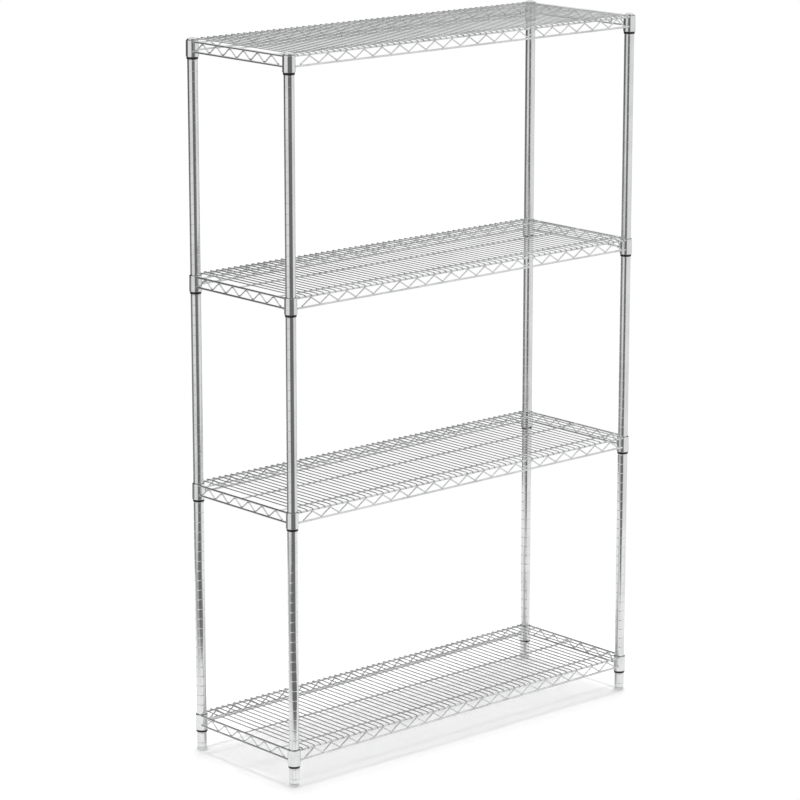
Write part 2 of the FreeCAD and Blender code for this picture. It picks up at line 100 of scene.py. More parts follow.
lens = bpy.data.cameras.new("camera")
lens.sensor_width = SENSOR_WIDTH
lens.lens = FOCAL_LENGTH_PIXELS / PHOTO_SIDE * SENSOR_WIDTH
camera = add_object("camera", lens)
camera.location = CAMERA_PLACE
camera.rotation_euler = (math.radians(90 - CAMERA_TILT), 0, math.radians(-CAMERA_TURN))
bpy.context.scene.camera = camera
bpy.context.scene.view_settings.view_transform = "Standard"
print("camera with a lens of", round(lens.lens), "mm")

# %% [markdown]
# ## Shader maths as Python
#
# A shader tree is a lot of small boxes joined by wires. Sums such as `1 - mask` are easier to read as Python,
# so one class wraps a socket and adds a Math node for every operator. Its `node` method makes any other node.


# %% A socket that can be added and multiplied
class Signal:
    """A socket of a shader tree that takes part in Python arithmetic."""

    def __init__(self, tree, socket=None):
        self.tree = tree
        self.socket = socket

    def node(self, kind, settings=None, inputs=None, output=0):
        """Any node: its settings are set first, then its sockets get values or links."""
        made = self.tree.nodes.new(kind)
        for name, setting in (settings or {}).items():
            setattr(made, name, setting)
        for name, content in (inputs or {}).items():
            if isinstance(content, Signal):
                self.tree.links.new(content.socket, made.inputs[name])
            else:
                made.inputs[name].default_value = content
        return Signal(self.tree, made.outputs[output])

    def math(self, operation, *values):
        return self.node("ShaderNodeMath", {"operation": operation}, dict(enumerate(values)))

    def feed(self, shader, name):
        """Link this signal to a socket of a shader."""
        self.tree.links.new(self.socket, shader.inputs[name])

    def __add__(self, other):
        return self.math("ADD", self, other)

    __radd__ = __add__

    def __sub__(self, other):
        return self.math("SUBTRACT", self, other)

    def __rsub__(self, other):
        return self.math("SUBTRACT", other, self)

    def __mul__(self, other):
        return self.math("MULTIPLY", self, other)

    __rmul__ = __mul__

    def __truediv__(self, other):
        return self.math("DIVIDE", self, other)

    def __pow__(self, other):
        return self.math("POWER", self, other)


print("sockets take part in Python sums")


# %% Steps, blends and coordinates
def smooth(signal, start, end):
    """0 before start, 1 after end, and a soft step between them."""
    inputs = {"Value": signal, "From Min": start, "From Max": end}
    return signal.node("ShaderNodeMapRange", {"interpolation_type": "SMOOTHSTEP"}, inputs)


def larger(first, second):
    return first.math("MAXIMUM", first, second)


def size_of(signal):
    """The signal without its sign."""
    return signal.math("ABSOLUTE", signal)


def blend(factor, first, second):
    """A colour between two colours."""
    sockets = {0: factor, 6: first, 7: second}
    return factor.node("ShaderNodeMix", {"data_type": "RGBA"}, sockets, output=2)


def axes(paint, coordinates="Object"):
    """The three coordinates of a shaded point, each as a signal."""
    place = paint.node("ShaderNodeTexCoord", output=coordinates)
    return [paint.node("ShaderNodeSeparateXYZ", inputs={0: place}, output=axis) for axis in range(3)]


print("shader maths ready")

# %% [markdown]
# ## The studio that the chrome reflects
#
# Polished chrome has hardly any colour of its own: what is seen is the room. The room here is bright all
# round, and a little brighter overhead. The camera itself sees plain white, and matt surfaces get an even,
# softer light.

# %% Build the world
AMBIENT = 0.55
WALL_LIGHT = 0.80
CEILING_LIGHT = 1.0
CEILING_FROM = 0.2
CEILING_FULL = 0.7

world = bpy.data.worlds.new("studio")
world.use_nodes = True
bpy.context.scene.world = world
sky = Signal(world.node_tree)
height = axes(sky, "Generated")[2]
reflected = WALL_LIGHT + (CEILING_LIGHT - WALL_LIGHT) * smooth(height, CEILING_FROM, CEILING_FULL)
seen = sky.node("ShaderNodeLightPath", output="Is Camera Ray")
mirrored = sky.node("ShaderNodeLightPath", output="Is Glossy Ray")
light = seen + mirrored * reflected + (1 - seen - mirrored) * AMBIENT
light.feed(world.node_tree.nodes["Background"], "Strength")
world.node_tree.nodes["Background"].inputs["Color"].default_value = (1, 1, 1, 1)
print("world built with", len(world.node_tree.nodes), "nodes")

# %% [markdown]
# ## Dark cards
#
# In an evenly bright room chrome turns white and its shape disappears, so photographers stand dark cards
# round it. In the photograph every post has a dark line near its middle and another at its left edge. Where
# those lines lie on the four posts tells where the cards stood: one in front to the left, and one behind.
# Both end above the unit, so a surface that leans upwards still reflects the bright room over them. A third
# card lies flat before the front one, because the dark line goes on almost down to the floor. A fourth stands
# behind to the right, for views from that side. The cards show in reflections alone.

# %% Paint a card
CARD_FADE = 0.4
CARD_FOOT = -0.01
FOOT_GREY_TO = 0.9
TOP_GREY_FROM = 1.9


def bare_finish(name):
    """A material with an empty shader tree, and a signal to build it from."""
    material = bpy.data.materials.new(name)
    material.use_nodes = True
    material.node_tree.nodes.clear()
    return material, Signal(material.node_tree)


def make_card_finish(name, width, top, foot_grey, top_grey, near_fade):
    """Grey that changes up the card and fades out at its sides, its top and, if asked, its near edge."""
    material, paint = bare_finish(name)
    along, _, up = axes(paint)
    sides = smooth(along, 0, CARD_FADE) * (1 - smooth(along, width - CARD_FADE, width))
    solid = sides * smooth(up, CARD_FOOT, near_fade) * (1 - smooth(up, top - CARD_FADE, top))
    grey = foot_grey + (top_grey - foot_grey) * smooth(up, FOOT_GREY_TO, TOP_GREY_FROM)
    clear = paint.node("ShaderNodeBsdfTransparent")
    dark = paint.node("ShaderNodeEmission", inputs={"Strength": grey})
    card = paint.node("ShaderNodeMixShader", inputs={0: solid, 1: clear, 2: dark})
    card.feed(paint.tree.nodes.new("ShaderNodeOutputMaterial"), "Surface")
    return material


print("cards fade over", CARD_FADE, "m at their edges")

# %% Stand the cards
FRONT_CARD = ((-2.5, -1.1), (0.1, -1.6))
FRONT_CARD_TOP = 2.7
FRONT_CARD_GREY = 0.16
FLAT_CARD = ((-2.5, -0.05), (0.2, -0.65))
FLAT_CARD_DEPTH = 1.5
FLAT_CARD_FADE = 0.25
BACK_CARD = ((-2.6, 1.3), (1.6, 2.3))
BACK_CARD_TOP = 3.0
BACK_CARD_GREY = 0.07
BACK_CARD_FOOT_GREY = 0.23
SIDE_CARD = ((1.7, 2.2), (2.7, 0.6))
SIDE_CARD_TOP = 2.2
SIDE_CARD_GREY = 0.18
CARD_LIFT = 2 * MM
HIDDEN_FROM = ("camera", "diffuse", "transmission", "volume_scatter", "shadow")


def one_face(name, corners, finish):
    mesh = bpy.data.meshes.new(name)
    mesh.from_pydata(corners, [], [(0, 1, 2, 3)])
    mesh.materials.append(finish)
    return mesh


def stand_card(name, ends, top, foot_grey, top_grey, lean=0.0, near_fade=0.0):
    """A card between two points on the floor, upright or leaning towards the front."""
    left, right = (Vector(end) for end in ends)
    run = right - left
    corners = [(0, 0, 0), (run.length, 0, 0), (run.length, 0, top), (0, 0, top)]
    finish = make_card_finish(name, run.length, top, foot_grey, top_grey, near_fade)
    card = add_object(name, one_face(name, corners, finish))
    card.location = (left.x, left.y, CARD_LIFT)
    card.rotation_euler = (lean, 0, math.atan2(run.y, run.x))
    for rays in HIDDEN_FROM:
        setattr(card, f"visible_{rays}", False)
    card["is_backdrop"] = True


stand_card("front_card", FRONT_CARD, FRONT_CARD_TOP, FRONT_CARD_GREY, FRONT_CARD_GREY)
stand_card(
    "flat_card",
    FLAT_CARD,
    FLAT_CARD_DEPTH,
    FRONT_CARD_GREY,
    FRONT_CARD_GREY,
    lean=math.pi / 2,
    near_fade=FLAT_CARD_FADE,
)
stand_card("back_card", BACK_CARD, BACK_CARD_TOP, BACK_CARD_FOOT_GREY, BACK_CARD_GREY)
stand_card("side_card", SIDE_CARD, SIDE_CARD_TOP, SIDE_CARD_GREY, SIDE_CARD_GREY)
print("four cards round the unit")

# %% [markdown]
# ## Floor
#
# The unit stands on a white sheet. Its edge fades out, so it melts into the white behind it, and it keeps
# only the soft shadow of the four shelves. In the chrome the sheet is bright, but on the left it goes over
# into a grey floor, which dulls the low parts of the posts on that side. Under the unit its image in the
# chrome carries a painted shade of the shelves.

# %% Decide how bright the floor is in the chrome
MIRRORED_SHEET = 0.92
MIRRORED_FLOOR = 0.42
# painted shade: the floor's image in the chrome is darker under the unit
MIRRORED_UNDER_SHADE = 0.45
UNDER_EDGE = 0.08
GREY_FLOOR_FROM = 0.4
GREY_FLOOR_FULL = 1.0


def within(signal, reach):
    """1 under the unit, fading to 0 at its edge."""
    return 1 - smooth(size_of(signal), reach - UNDER_EDGE, reach)


def mirrored_floor(x, y):
    """How bright the floor is in the chrome: painted shade under the unit, and less far to the left."""
    # painted shade of the shelves under the unit, seen in the chrome only
    under = within(x, cad_high.x) * within(y, cad_high.y)
    further = smooth(-1 * x - cad_high.x, GREY_FLOOR_FROM, GREY_FLOOR_FULL)
    sheet = MIRRORED_SHEET - (MIRRORED_SHEET - MIRRORED_UNDER_SHADE) * under
    return sheet - (MIRRORED_SHEET - MIRRORED_FLOOR) * further


print("mirrored floor from", MIRRORED_FLOOR, "to", MIRRORED_SHEET)

# %% Lay the floor
SHEET_REACH = 0.9
SHEET_FADE = 0.6
SHEET_SIZE = 3.0
SHEET_GLOW = 0.24
SHEET_WHITE = (0.80, 0.80, 0.80, 1)
MIRRORED_REACH = 2.1


def beyond(signal, reach):
    """How far a coordinate lies outside the unit, or 0 within it."""
    return larger(size_of(signal) - reach, 0)


def make_floor_finish():
    material, sheet = bare_finish("white_sheet")
    x, y, _ = axes(sheet)
    beside = beyond(x, cad_high.x)
    before = beyond(y, cad_high.y)
    away = (beside * beside + before * before) ** 0.5
    matt = sheet.node("ShaderNodeBsdfDiffuse", inputs={"Color": SHEET_WHITE})
    glow = sheet.node("ShaderNodeEmission", inputs={"Strength": SHEET_GLOW})
    white = sheet.node("ShaderNodeAddShader", inputs={0: matt, 1: glow})
    image = sheet.node("ShaderNodeEmission", inputs={"Strength": mirrored_floor(x, y)})
    mirrored = sheet.node("ShaderNodeLightPath", output="Is Glossy Ray")
    shown = sheet.node("ShaderNodeMixShader", inputs={0: mirrored, 1: white, 2: image})
    clear = sheet.node("ShaderNodeBsdfTransparent")
    gone = smooth(away, SHEET_REACH - SHEET_FADE, SHEET_REACH)
    image_gone = smooth(away, MIRRORED_REACH - SHEET_FADE, MIRRORED_REACH)
    cut = gone + mirrored * (image_gone - gone)
    faded = sheet.node("ShaderNodeMixShader", inputs={0: cut, 1: shown, 2: clear})
    faded.feed(sheet.tree.nodes.new("ShaderNodeOutputMaterial"), "Surface")
    return material


sheet_corners = [(sx * SHEET_SIZE, sy * SHEET_SIZE, 0) for sx, sy in ((-1, -1), (1, -1), (1, 1), (-1, 1))]
floor = add_object("floor", one_face("floor", sheet_corners, make_floor_finish()))
floor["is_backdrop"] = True
print("floor of", 2 * SHEET_SIZE, "m, with an edge that fades out")

# %% [markdown]
# ## Lamp
#
# The shadow on the floor is soft and lies almost straight below the shelves, so the light came from a large
# source overhead, a little from the back and from the right. An area lamp could do this, but its light would
# fade from shelf to shelf. A sun with a wide angle is as soft and reaches every shelf alike. It is hidden
# from reflections, because it would show as a bright spot in every wire.

# %% Hang the lamp
LAMP_LEAN = (math.radians(-3), math.radians(3), 0)
LAMP_ANGLE = math.radians(12)
LAMP_POWER = 2.0

lamp_data = bpy.data.lights.new("soft_lamp", "SUN")
lamp_data.angle = LAMP_ANGLE
lamp_data.energy = LAMP_POWER
lamp = add_object("soft_lamp", lamp_data)
lamp.rotation_euler = LAMP_LEAN
lamp.visible_glossy = False
print("lamp of strength", LAMP_POWER)

# %% [markdown]
# ## Chrome
#
# The posts, the collars and the wires are all plated, but not alike. A rolled tube keeps faint lines along
# its length, a pressed collar has them round it, and drawn wire is a little duller and more uneven. Colour
# and roughness follow the same noise, so a duller patch is also a darker one. The grooves get painted shade,
# a darker colour that stands for the shadow in them, and the plating is cloudy over the welds.

# %% Tools for finishes
NOISE_DETAIL = 4.0
EVEN = (1, 1, 1)


def new_finish(name):
    """A material with its shader, and a signal to build its nodes from."""
    material = bpy.data.materials.new(name)
    material.use_nodes = True
    return material, material.node_tree.nodes["Principled BSDF"], Signal(material.node_tree)


def noise(paint, stretch, scale, detail=NOISE_DETAIL):
    """Noise in real sizes, finer along the axes with a larger stretch."""
    place = paint.node("ShaderNodeTexCoord", output="Object")
    scaled = paint.node("ShaderNodeVectorMath", {"operation": "MULTIPLY"}, {0: place, 1: stretch})
    return paint.node("ShaderNodeTexNoise", inputs={"Vector": scaled, "Scale": scale, "Detail": detail})


def bump(paint, height, strength, distance):
    inputs = {"Strength": strength, "Distance": distance, "Height": height}
    return paint.node("ShaderNodeBump", inputs=inputs)


print("noise and bump ready")

# %% Mix the chrome finishes
GROOVE_PITCH = 25.4 * MM
LOWEST_GROOVE = 20.0 * MM
GROOVE_HALF_WIDTH = 1.2 * MM
# painted shade in the post grooves: the share of the groove at full shade, and the shade colour
GROOVE_SHADE_SHARE = 0.3
GROOVE_SHADE_COLOUR = (0.75, 0.75, 0.75, 1)
CLOUD_SCALE = 14.0
WORN_FROM = 0.38
WORN_FULL = 0.66
GRAIN_BUMP = 0.06
GRAIN_HEIGHT = 0.1 * MM
TUBE_BRIGHT = (0.88, 0.885, 0.89, 1)
TUBE_DULL = (0.76, 0.765, 0.77, 1)
WIRE_BRIGHT = (0.79, 0.795, 0.80, 1)
WIRE_DULL = (0.60, 0.605, 0.61, 1)
WELD_BRIGHT = (0.74, 0.745, 0.75, 1)
WELD_DULL = (0.50, 0.505, 0.51, 1)
LINES_ALONG = (420, 420, 9)
LINES_ROUND = (60, 60, 700)
DRAWN_GRAIN = (240, 240, 240)
WELD_GRAIN = (700, 700, 700)


def in_groove(paint):
    """1 at the bottom of a post's groove, fading to 0 at its lips."""
    turns = (axes(paint)[2] - LOWEST_GROOVE) / GROOVE_PITCH + 0.5
    away = size_of(turns.math("FRACT", turns) - 0.5) * GROOVE_PITCH
    return 1 - smooth(away, GROOVE_SHADE_SHARE * GROOVE_HALF_WIDTH, GROOVE_HALF_WIDTH)


def chrome(name, bright, dull, grain, roughness, spread, grooved=False):
    """Plated steel whose grain and dullness follow one stretched noise."""
    material, shader, paint = new_finish(name)
    grain_lines = noise(paint, grain, scale=1.0)
    clouds = noise(paint, EVEN, CLOUD_SCALE)
    worn = smooth(0.5 * grain_lines + 0.5 * clouds, WORN_FROM, WORN_FULL)
    plating = blend(worn, bright, dull)
    # painted shade: the post grooves get a darker colour, and a rougher surface as well
    if grooved:
        groove_shade = in_groove(paint)
        plating = blend(groove_shade, plating, GROOVE_SHADE_COLOUR)
        worn = larger(worn, groove_shade)
    plating.feed(shader, "Base Color")
    (roughness + spread * worn).feed(shader, "Roughness")
    bump(paint, grain_lines, GRAIN_BUMP, GRAIN_HEIGHT).feed(shader, "Normal")
    shader.inputs["Metallic"].default_value = 1.0
    return material


post_chrome = chrome(
    "post_chrome", TUBE_BRIGHT, TUBE_DULL, LINES_ALONG, roughness=0.07, spread=0.10, grooved=True
)
collar_chrome = chrome("collar_chrome", TUBE_BRIGHT, TUBE_DULL, LINES_ROUND, roughness=0.08, spread=0.10)
wire_chrome = chrome("wire_chrome", WIRE_BRIGHT, WIRE_DULL, DRAWN_GRAIN, roughness=0.10, spread=0.12)
weld_chrome = chrome("weld_chrome", WELD_BRIGHT, WELD_DULL, WELD_GRAIN, roughness=0.18, spread=0.20)
print("four chrome finishes")

# %% [markdown]
# ## Plastic
#
# The sleeves are moulded in black plastic with a fine spark-eroded texture, and the post caps in pale grey.
# The texture is far too fine to model, so it is a bump. A second, coarser noise makes some patches paler and
# rougher, as handling does.

# %% Mix the plastic finishes
TEXTURE_SCALE = 2600.0
TEXTURE_DETAIL = 2.0
TEXTURE_BUMP = 0.25
TEXTURE_HEIGHT = 0.05 * MM
HANDLING_SCALE = 60.0
HANDLING_FROM = 0.5
HANDLING_FULL = 0.75
PLASTIC_ROUGHNESS = 0.42
PLASTIC_SPREAD = 0.18


def plastic(name, clean, scuffed):
    material, shader, paint = new_finish(name)
    texture = noise(paint, EVEN, TEXTURE_SCALE, TEXTURE_DETAIL)
    handling = smooth(noise(paint, EVEN, HANDLING_SCALE), HANDLING_FROM, HANDLING_FULL)
    blend(handling, clean, scuffed).feed(shader, "Base Color")
    (PLASTIC_ROUGHNESS + PLASTIC_SPREAD * handling).feed(shader, "Roughness")
    bump(paint, texture, TEXTURE_BUMP, TEXTURE_HEIGHT).feed(shader, "Normal")
    return material


sleeve_plastic = plastic("sleeve_plastic", (0.012, 0.012, 0.013, 1), (0.035, 0.035, 0.036, 1))
cap_plastic = plastic("cap_plastic", (0.62, 0.62, 0.62, 1), (0.54, 0.54, 0.535, 1))
print("two plastic finishes")

# %% [markdown]
# ## Zinc
#
# The levelling feet and their inserts are zinc plated: greyer than chrome, with a cloudy bloom. One cloudy
# noise drives the colour, the roughness and a slight bump together, so that a dull patch is also a darker
# and a rougher one.

# %% Mix the zinc finishes
BLOOM_SCALE = 180.0
BLOOM_FROM = 0.35
BLOOM_FULL = 0.65
BLOOM_BUMP = 0.05
BLOOM_HEIGHT = 0.1 * MM
ZINC_ROUGHNESS = 0.24
ZINC_SPREAD = 0.22


def zinc(name, bright, dull):
    material, shader, paint = new_finish(name)
    bloom = smooth(noise(paint, EVEN, BLOOM_SCALE), BLOOM_FROM, BLOOM_FULL)
    blend(bloom, bright, dull).feed(shader, "Base Color")
    (ZINC_ROUGHNESS + ZINC_SPREAD * bloom).feed(shader, "Roughness")
    bump(paint, bloom, BLOOM_BUMP, BLOOM_HEIGHT).feed(shader, "Normal")
    shader.inputs["Metallic"].default_value = 1.0
    return material


foot_steel = zinc("foot_steel", (0.74, 0.75, 0.76, 1), (0.56, 0.57, 0.58, 1))
insert_steel = zinc("insert_steel", (0.66, 0.66, 0.65, 1), (0.50, 0.50, 0.49, 1))
print("two zinc finishes")

# %% [markdown]
# ## Finishes on the CAD pieces
#
# The edge, truss and support wires, the caps and the inserts already have their real shape, so they stay and
# only take their finish. Their meshes carry the exact normals of the CAD surfaces, so they are shaded smooth
# as they come. The other nodes get a finer piece in their place further on.

# %% Put the finishes on
FINISHES = {
    "post_chrome": post_chrome,
    "collar_chrome": collar_chrome,
    "wire_chrome": wire_chrome,
    "sleeve_plastic": sleeve_plastic,
    "cap_plastic": cap_plastic,
    "foot_steel": foot_steel,
    "insert_steel": insert_steel,
}
for row in frame["record"]["subparts"]:
    mesh = nodes[row["node"]].data
    mesh.materials.clear()
    mesh.materials.append(FINISHES[row["material_slot"]])
print(len(FINISHES), "finishes on", len(nodes), "nodes")

# %% [markdown]
# ## Turned shapes
#
# Posts, collars and sleeves are all round about a vertical axis. Each is an outline of radius and height,
# with arcs at its corners, turned about the axis. The outline runs up on the outside and down on the inside,
# so that the faces look outwards. A part turn, closed at its two ends, makes one half of a split sleeve.
# Smooth shading blends the directions of neighbouring faces, so a point a little before and after each arc
# keeps the long straight runs truly straight in their reflections.

# %% Round an outline
CORNER_STEPS = 4
STRAIGHT_SHARE = 0.2


def rounded(corners):
    """A closed outline from corners of (radius, height, rounding), with an arc at each rounded one."""
    outline = []
    for index, (radius, height, rounding) in enumerate(corners):
        corner = Vector((radius, height))
        if rounding == 0:
            outline.append(corner)
            continue
        after_index = (index + 1) % len(corners)
        before = (Vector(corners[index - 1][:2]) - corner).normalized()
        after = (Vector(corners[after_index][:2]) - corner).normalized()
        half = before.angle(after) / 2
        centre = corner + (before + after).normalized() * (rounding / math.sin(half))
        reach = rounding / math.tan(half)
        start = (corner + before * reach - centre).normalized()
        end = (corner + after * reach - centre).normalized()
        outline.append(corner + before * (reach + STRAIGHT_SHARE * rounding))
        for step in range(CORNER_STEPS + 1):
            outline.append(centre + rounding * start.slerp(end, step / CORNER_STEPS))
        outline.append(corner + after * (reach + STRAIGHT_SHARE * rounding))
    return outline


print("arcs of", CORNER_STEPS, "steps")


# %% Turn an outline about an axis
def around(centre, turn, radius, height):
    """A point at a turn and a radius from the vertical axis through a centre."""
    return (centre.x + radius * math.cos(turn), centre.y + radius * math.sin(turn), height)


def turned(outline, centre, sides, start=0.0, sweep=math.tau):
    """Points and faces of an outline turned about the vertical axis through a centre."""
    whole = sweep == math.tau
    stations = sides if whole else sides + 1
    size = len(outline)
    points, faces = [], []
    for station in range(stations):
        turn = start + sweep * station / sides
        points += [around(centre, turn, radius, height) for radius, height in outline]
    for station in range(sides):
        here, there = station * size, (station + 1) % stations * size
        for corner in range(size):
            after = (corner + 1) % size
            faces.append((here + corner, there + corner, there + after, here + after))
    if not whole:
        faces.append(tuple(range(size)))
        faces.append(tuple(reversed(range(sides * size, stations * size))))
    return points, faces


def post_axis(corner):
    low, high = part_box(f"post_{corner}")
    return (low + high) / 2


print("post axes at", [[round(side, 3) for side in post_axis(corner).xy] for corner in CORNERS])

# %% Make a piece
SMOOTH_LIMIT = math.radians(38)


def make_piece(name, shells, finish, body, stands_for=None):
    """One object from several closed shells, riding on a body."""
    points, faces = [], []
    for shell_points, shell_faces in shells:
        start = len(points)
        points += shell_points
        faces += [tuple(start + corner for corner in face) for face in shell_faces]
    mesh = bpy.data.meshes.new(name)
    mesh.from_pydata(points, [], faces)
    mesh.materials.append(finish)
    mesh.shade_smooth()
    mesh.set_sharp_from_angle(angle=SMOOTH_LIMIT)
    piece = add_object(name, mesh)
    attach(piece, body)
    if stands_for:
        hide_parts(stands_for)


print("edges sharper than", round(math.degrees(SMOOTH_LIMIT)), "degrees stay sharp")

# %% [markdown]
# ## Posts with rolled grooves
#
# The grooves are rolled into the tube, so they have soft lips and a soft bottom. A sharp V would show as a
# dark line. A soft dip turns the reflection up to the ceiling and down to the floor within its few
# millimetres, which gives the pale ticks across the dark line of the photographed posts.

# %% Roll the posts
POST_WALL = 1.2 * MM
POST_END_ROUND = 0.4 * MM
POST_SIDES = 40
PLAIN_TOP = 24.7 * MM
GROOVE_DEPTH = 0.32 * MM
GROOVE_STEPS = 4


def post_outline(radius, foot, top):
    """From the bore's lower end round the outside, groove by groove, to the bore's upper end."""
    bore = radius - POST_WALL
    corner = radius - POST_END_ROUND
    outline = [(bore, foot), (corner, foot), (radius, foot + POST_END_ROUND)]
    count = math.floor((top - LOWEST_GROOVE - PLAIN_TOP) / GROOVE_PITCH) + 1
    for index in range(count):
        middle = LOWEST_GROOVE + index * GROOVE_PITCH
        for step in range(-GROOVE_STEPS - 1, GROOVE_STEPS + 2):
            away = step / GROOVE_STEPS
            depth = GROOVE_DEPTH * (1 + math.cos(math.pi * min(1, abs(away)))) / 2
            outline.append((radius - depth, middle + away * GROOVE_HALF_WIDTH))
    outline += [(radius, top - POST_END_ROUND), (corner, top), (bore, top)]
    return outline


for corner in CORNERS:
    low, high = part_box(f"post_{corner}")
    outline = post_outline((high.x - low.x) / 2, low.z, high.z)
    shell = turned(outline, post_axis(corner), POST_SIDES)
    make_piece(f"rolled_post_{corner}", [shell], post_chrome, "posts", f"post_{corner}")
print("four posts with", len(outline), "points in their outline")

# %% [markdown]
# ## Collars
#
# A collar is pressed from tube, so its ends are rounded over, and it narrows a little upwards to wedge on its
# sleeve. A bevel on a cone could round it as well, but an outline with arcs gives each edge its own radius.

# %% Press the collars of a shelf
ROUND_SIDES = 48
COLLAR_WALL = 1.5 * MM
COLLAR_ROUND = 0.7 * MM
FINE_ROUND = 0.3 * MM
TAPER_FALL = 0.6 * MM
TAPER_HEIGHT = 41.7 * MM
TAPER = TAPER_FALL / TAPER_HEIGHT


def collar_outline(low, high, foot_radius):
    """A tapered tube, given its lower and upper ends and its radius at the lower one."""
    top_radius = foot_radius - (high - low) * TAPER
    return rounded([
        (foot_radius - COLLAR_WALL, low, FINE_ROUND),
        (foot_radius, low, COLLAR_ROUND),
        (top_radius, high, COLLAR_ROUND),
        (top_radius - COLLAR_WALL, high, FINE_ROUND),
    ])


def press_collars(shelf):
    """The four collars of a shelf as one piece."""
    node = f"{shelf}_collars"
    low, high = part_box(node)
    outline = collar_outline(low.z, high.z, high.x - post_axis("front_right").x)
    shells = [turned(outline, post_axis(corner), ROUND_SIDES) for corner in CORNERS]
    make_piece(f"{shelf}_pressed_collars", shells, collar_chrome, shelf, node)


print("collars narrow by", round(TAPER_FALL / MM, 2), "mm over", round(TAPER_HEIGHT / MM, 2), "mm")

# %% [markdown]
# ## Sleeves
#
# The sleeve inside a collar is moulded in two halves that close round the post. A rim with soft edges shows
# below the collar, and its thin upper end shows above it. Each half is a part turn of one outline, so the
# split between them is a real gap.

# %% Outline a sleeve
SLEEVE_CLEARANCE = 0.1 * MM
SLEEVE_RIM_WALL = 1.55 * MM
SLEEVE_RIM_HEIGHT = 6.0 * MM
SLEEVE_FOOT_WALL = 1.4 * MM
SLEEVE_SPLIT = 0.6 * MM
SLEEVE_ROUND = 0.9 * MM


def sleeve_outline(low, high, bore):
    """A rim below, and above it a thinner wall that tapers as the collar does."""
    rim_top = low + SLEEVE_RIM_HEIGHT
    rim = bore + SLEEVE_RIM_WALL
    foot = bore + SLEEVE_FOOT_WALL
    return rounded([
        (bore, low, FINE_ROUND),
        (rim, low, SLEEVE_ROUND),
        (rim, rim_top, 0),
        (foot, rim_top, 0),
        (foot - (high - rim_top) * TAPER, high, FINE_ROUND),
        (bore, high, FINE_ROUND),
    ])


post_low, post_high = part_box("post_front_left")
sleeve_bore = (post_high.x - post_low.x) / 2 + SLEEVE_CLEARANCE
half_turn = math.pi - SLEEVE_SPLIT / sleeve_bore
print("sleeves with a bore of", round(sleeve_bore / MM, 2), "mm radius")


# %% Fit the corners of every shelf
def mould_sleeve(node, axis):
    low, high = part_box(node)
    outline = sleeve_outline(low.z, high.z, sleeve_bore)
    halves = [turned(outline, axis, ROUND_SIDES // 2, start, half_turn) for start in (0.0, math.pi)]
    make_piece(f"moulded_{node}", halves, sleeve_plastic, "posts", node)


for shelf in SHELVES:
    press_collars(shelf)
    for corner in CORNERS:
        mould_sleeve(f"{shelf}_sleeve_{corner}", post_axis(corner))
print("collars and sleeves at", len(CORNERS), "corners of", len(SHELVES), "shelves")

# %% [markdown]
# ## Levelling feet
#
# A foot is a hexagon with bevelled corners on a threaded stem. Both are height fields round an axis: at every
# angle and height there is one radius. For the hexagon that is the distance to its flat, limited by the cones
# of the two bevels. For the thread it rises and falls once per pitch, and one pitch later for each full turn.


# %% Close a skin over rings
def skin(rings):
    """Points and faces of a closed skin over rings, which run anticlockwise seen from the last one."""
    sides = len(rings[0])
    points = [point for ring in rings for point in ring]
    faces = [tuple(reversed(range(sides)))]
    for start in range(0, len(points) - sides, sides):
        for step in range(sides):
            after = (step + 1) % sides
            faces.append((start + step, start + after, start + sides + after, start + sides + step))
    faces.append(tuple(range(len(points) - sides, len(points))))
    return points, faces


def even_turns(count):
    """Angles that divide a full turn evenly."""
    return [math.tau * step / count for step in range(count)]


print("skins close at both ends")

# %% Cut the feet
FOOT_FLAT = 11.0 * MM
FOOT_BASE = 8.0 * MM
FOOT_BEVEL = 1.2 * MM
FOOT_TOP_SLOPE = 1.7
FOOT_RINGS = 20
SIXTH = math.tau / 6
STEM_RADIUS = 4.9 * MM
THREAD_PITCH = 1.5 * MM
THREAD_DEPTH = 0.75 * MM
THREAD_SLOPE = 2.4
THREAD_CREST = 0.1
THREAD_STEPS = 8
FOOT_TURNS = even_turns(ROUND_SIDES)


def hexagon_radius(turn, height):
    flat = FOOT_FLAT / math.cos((turn + SIXTH / 2) % SIXTH - SIXTH / 2)
    below = FOOT_FLAT - FOOT_BEVEL + height
    above = FOOT_FLAT + (FOOT_BASE - height) * FOOT_TOP_SLOPE
    return min(flat, below, above)


def thread_radius(turn, height, top):
    phase = (height / THREAD_PITCH - turn / math.tau) % 1
    flank = min(1.0, max(0.0, THREAD_SLOPE * abs(phase - 0.5) - THREAD_CREST))
    point = STEM_RADIUS - max(0.0, height - top + THREAD_PITCH)
    return min(STEM_RADIUS - THREAD_DEPTH * flank, point)


def foot_shell(centre, top):
    """One closed skin: the hexagon's rings, its flat top, and the thread's rings up to the stem's end."""
    rings = []
    for index in range(FOOT_RINGS + 1):
        height = FOOT_BASE * index / FOOT_RINGS
        rings.append([around(centre, turn, hexagon_radius(turn, height), height) for turn in FOOT_TURNS])
    count = round((top - FOOT_BASE) / THREAD_PITCH * THREAD_STEPS)
    for index in range(count + 1):
        height = FOOT_BASE + (top - FOOT_BASE) * index / count
        rings.append([around(centre, turn, thread_radius(turn, height, top), height) for turn in FOOT_TURNS])
    return skin(rings)


for corner in CORNERS:
    node = f"levelling_foot_{corner}"
    low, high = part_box(node)
    shell = foot_shell((low + high) / 2, high.z)
    make_piece(f"threaded_{node}", [shell], foot_steel, node, node)
print("four feet with", len(shell[1]), "faces each")

# %% [markdown]
# ## Deck wires
#
# A deck wire lies over the two long edge wires and is bent down round them. In the photograph no tail hangs
# below the edge wire, so each bend ends level with its middle. A ring of points follows the wire's line and
# turns with it in the bends. One more ring just inside each bend keeps the long run straight in its
# reflections, and a smaller one takes the sharp edge off each end.

